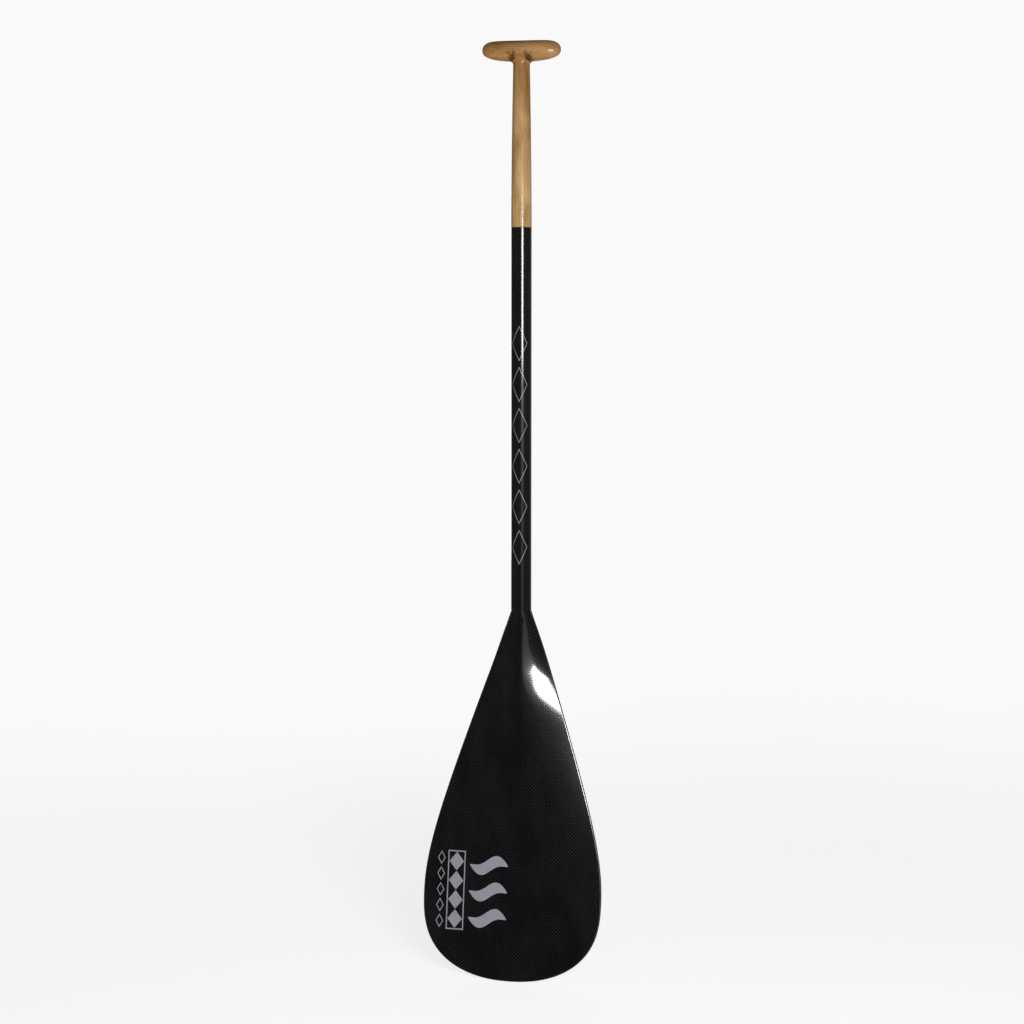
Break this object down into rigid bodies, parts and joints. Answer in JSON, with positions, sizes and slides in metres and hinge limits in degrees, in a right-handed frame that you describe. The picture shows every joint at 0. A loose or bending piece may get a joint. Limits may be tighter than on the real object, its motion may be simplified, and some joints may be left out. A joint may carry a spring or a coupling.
{
  "type": "single blade canoe paddle",
  "caption": "Canoe paddle with a wooden T grip and handle, a straight carbon tube shaft and a bent, foam-cored teardrop carbon blade.",
  "frame": {"origin": "on the shaft axis at the middle of the carbon tube, where a clip or strap holds the paddle", "axes": "+Z along the shaft towards the grip, +X across the blade, -Y out of the blade's ridged back, towards which the blade bends; +Y out of its flat power face"},
  "size_m": [0.2484, 0.095, 1.2702],
  "materials": {
    "varnished_wood_grip": "clear gloss varnish over lengthwise grain",
    "varnished_wood_stem": "clear gloss varnish over lengthwise grain",
    "epoxy": "cured amber resin",
    "tube_carbon": "woven carbon under clear gloss coat",
    "blade_carbon": "woven carbon under clear satin coat",
    "foam": "closed-cell foam",
    "stringer_wood": "raw",
    "rim_resin": "dark filled resin, sanded and clear coated",
    "silver_print": "satin silver-grey print"
  },
  "bodies": {
    "root": {"palm_grip": "varnished_wood_grip", "handle_stem": "varnished_wood_stem", "stem_bond": "epoxy", "shaft_tube": "tube_carbon", "tang_bond": "epoxy", "tang_sleeve": "tube_carbon", "tang_foam": "foam", "stringer": "stringer_wood", "core_left": "foam", "core_right": "foam", "back_skin": "blade_carbon", "power_face_skin": "blade_carbon", "edge_rail": "rim_resin", "tube_marks_film": "silver_print", "blade_diamonds_film": "silver_print", "blade_bar_film": "silver_print", "blade_waves_film": "silver_print"}
  },
  "joints": []
}
